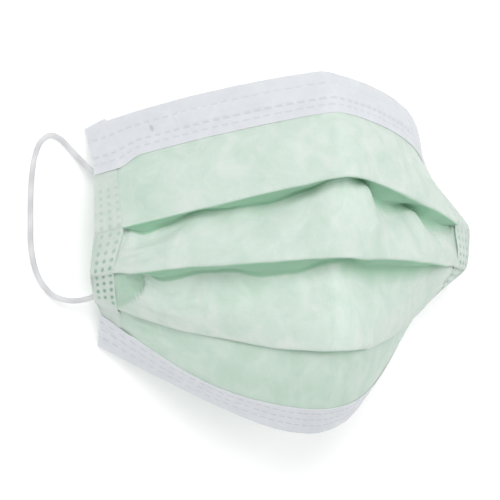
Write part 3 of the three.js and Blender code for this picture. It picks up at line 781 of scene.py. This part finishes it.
def nose_wire():
    """The flat wire between the cloth and the nose binding, with round ends."""
    reach = np.linspace(-1, 1, 160)
    across = reach * WIRE_LENGTH / 2 / CLOTH_HALF_WIDTH
    taper = np.sqrt(1 - WIRE_END_NARROWS * smooth(*WIRE_ROUND_END, np.abs(reach)))
    places = np.linspace(-1, 1, 9)
    distances = WIRE_FROM_EDGE + taper[:, None] * places[None] * WIRE_WIDTH / 2
    points, outward, _ = skin(across, distances, "nose")
    offset = CLOTH_THICKNESS / 2 + AIR + WIRE_THICKNESS / 2
    middle = points + outward * offset
    u = across[:, None] * CLOTH_HALF_WIDTH + 0 * distances
    cloth = np.stack([u, distances], -1)
    piece = solid_mesh("flat_wire", middle, WIRE_THICKNESS - AIR, cloth, 0 * u, 0 * u, WIRE_COAT)
    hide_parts("nose_wire")
    return piece


def through_points(points, step):
    """An even line through the points, with centripetal spacing."""
    points = np.asarray(points, float)
    ends = np.concatenate([[2 * points[0] - points[1]], points, [2 * points[-1] - points[-2]]])
    line = []
    for p0, p1, p2, p3 in zip(ends, ends[1:], ends[2:], ends[3:]):
        gaps = [np.linalg.norm(b - a) ** 0.5 for a, b in ((p0, p1), (p1, p2), (p2, p3))]
        t0, t1 = 0, gaps[0]
        t2, t3 = t1 + gaps[1], t1 + gaps[1] + gaps[2]
        t = np.linspace(t1, t2, 24, endpoint=False)[:, None]
        a1 = (t1 - t) / (t1 - t0) * p0 + (t - t0) / (t1 - t0) * p1
        a2 = (t2 - t) / (t2 - t1) * p1 + (t - t1) / (t2 - t1) * p2
        a3 = (t3 - t) / (t3 - t2) * p2 + (t - t2) / (t3 - t2) * p3
        b1 = (t2 - t) / (t2 - t0) * a1 + (t - t0) / (t2 - t0) * a2
        b2 = (t3 - t) / (t3 - t1) * a2 + (t - t1) / (t3 - t1) * a3
        line.append((t2 - t) / (t2 - t1) * b1 + (t - t1) / (t2 - t1) * b2)
    line = np.concatenate([*line, points[-1:]])
    reached = np.concatenate([[0], np.cumsum(np.linalg.norm(np.diff(line, axis=0), axis=1))])
    at = np.linspace(0, reached[-1], int(reached[-1] / step) + 1)
    return np.stack([np.interp(at, reached, line[:, k]) for k in range(3)], axis=1), at


def ear_loop(name, node, route, side):
    """A flat knitted elastic with a thicker seam down each side, turning a little as it goes."""
    points, at = through_points([(side * out, fore, lift) for out, fore, lift in route], LOOP_STEP)
    tangent = unit(np.gradient(points, axis=0))
    upward = np.array([0.0, 0.0, 1.0])
    wide = unit(np.cross(tangent, upward) + 1e-6)
    high = unit(np.cross(wide, tangent))
    lean = LOOP_LEAN * np.sin(at / LOOP_LEAN_REACH)[:, None]
    wide, high = wide * np.cos(lean) + high * np.sin(lean), high * np.cos(lean) - wide * np.sin(lean)
    angle = np.linspace(0, 2 * math.pi, LOOP_SIDES, endpoint=False)[None]
    hollowed = 1 - LOOP_HOLLOW * np.abs(np.sin(angle)) ** 6
    stitch_turn = at[:, None] * 2 * math.pi / STITCH_PITCH + np.sign(np.cos(angle)) * STITCH_SET_OFF
    stitch = 1 + STITCH_RELIEF * np.sin(stitch_turn)
    x = np.cos(angle) * LOOP_WIDTH / 2 * stitch
    z = np.sin(angle) * LOOP_THICKNESS / 2 * hollowed * stitch
    ring = points[:, None] + wide[:, None] * x[..., None] + high[:, None] * z[..., None]
    ring[..., 2] = np.maximum(ring[..., 2], TABLE_GAP)
    count = len(points)
    index = np.arange(count * LOOP_SIDES).reshape(count, LOOP_SIDES)
    after = np.roll(index, -1, axis=1)
    faces = np.stack([index[:-1], index[1:], after[1:], after[:-1]], -1).reshape(-1, 4).tolist()
    faces += [index[0].tolist(), index[-1, ::-1].tolist()]
    mesh = bpy.data.meshes.new(name)
    mesh.from_pydata((ring.reshape(-1, 3) * MM).tolist(), [], faces)
    mesh.shade_smooth()
    mesh.materials.append(ELASTIC)
    round_it = angle / (2 * math.pi) * 2 * LOOP_WIDTH
    flat = np.stack([at[:, None] + 0 * angle, round_it + 0 * at[:, None], 0 * angle + 0 * at[:, None]], -1)
    mesh.attributes.new("cloth", "FLOAT_VECTOR", "POINT").data.foreach_set(
        "vector", (flat * MM).astype(np.float32).ravel()
    )
    piece = bpy.data.objects.new(name, mesh)
    bpy.context.scene.collection.objects.link(piece)
    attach(piece, "root")
    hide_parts(node)
    return piece


ear_loop("loop_elastic_left", "ear_loop_left", LOOP_ROUTE, -1)
ear_loop("loop_elastic_right", "ear_loop_right", TUCKED_ROUTE, 1)
body = pleated_panel()
strips = [
    binding("nose_strip", "nose_binding", "nose"),
    binding("chin_strip", "chin_binding", "chin"),
    side_hem("hem_strip_left", "side_hem_left", -1),
    side_hem("hem_strip_right", "side_hem_right", 1),
    nose_wire(),
]


def stage_floor():
    """A wide pale board under the mask."""
    half = 2.5
    corners = [(-half, -half, 0), (half, -half, 0), (half, half, 0), (-half, half, 0)]
    mesh = bpy.data.meshes.new("board")
    mesh.from_pydata(corners, [], [(0, 1, 2, 3)])
    mesh.materials.append(acrylic_board("opal_acrylic_board", "#FAFAFA"))
    board = bpy.data.objects.new("board", mesh)
    bpy.context.scene.collection.objects.link(board)


def soft_light(name, place, target, size, watts):
    """A square studio softbox, aimed at a target."""
    data = bpy.data.lights.new(name, "AREA")
    data.shape = "SQUARE"
    data.size = size
    data.energy = watts
    lamp = bpy.data.objects.new(name, data)
    bpy.context.scene.collection.objects.link(lamp)
    lamp.location = place
    lamp.rotation_mode = "QUATERNION"
    lamp.rotation_quaternion = (Vector(target) - Vector(place)).to_track_quat("-Z", "Y")


def camera():
    """The photograph's view: from above, leaning over to the left of the mask."""
    degrees_about_xyz = (-1.0, -21.6, -0.38)
    turn = Euler([math.radians(angle) for angle in degrees_about_xyz]).to_matrix()
    distance = 0.7
    focal_px = 1995
    middle_px = (259.79, 251.85)
    image_px = 500
    data = bpy.data.cameras.new("camera")
    data.sensor_width = 36
    data.lens = focal_px / image_px * data.sensor_width
    data.shift_x = (image_px / 2 - middle_px[0]) / image_px
    data.shift_y = (middle_px[1] - image_px / 2) / image_px
    data.clip_start = 0.05
    data.clip_end = 20
    eye = bpy.data.objects.new("camera", data)
    eye.matrix_world = Matrix.Translation(turn @ Vector((0, 0, distance))) @ turn.to_4x4()
    bpy.context.scene.collection.objects.link(eye)
    bpy.context.scene.camera = eye


def light_and_world():
    """Soft even studio light, a little stronger from the nose side."""
    target = (0, 0, 0.04)
    soft_light("key_softbox", (-0.3, 0.5, 0.85), target, size=0.7, watts=6)
    soft_light("fill_softbox", (-0.1, -0.6, 0.75), target, size=0.8, watts=3.3)
    soft_light("right_softbox", (0.8, 0.2, 0.6), target, size=0.6, watts=2.8)
    world = bpy.data.worlds.new("studio")
    world.use_nodes = True
    sky = world.node_tree.nodes["Background"]
    sky.inputs["Color"].default_value = (1, 1, 1, 1)
    sky.inputs["Strength"].default_value = 0.3
    bpy.context.scene.world = world
    bpy.context.scene.view_settings.view_transform = "Standard"


stage_floor()
camera()
light_and_world()
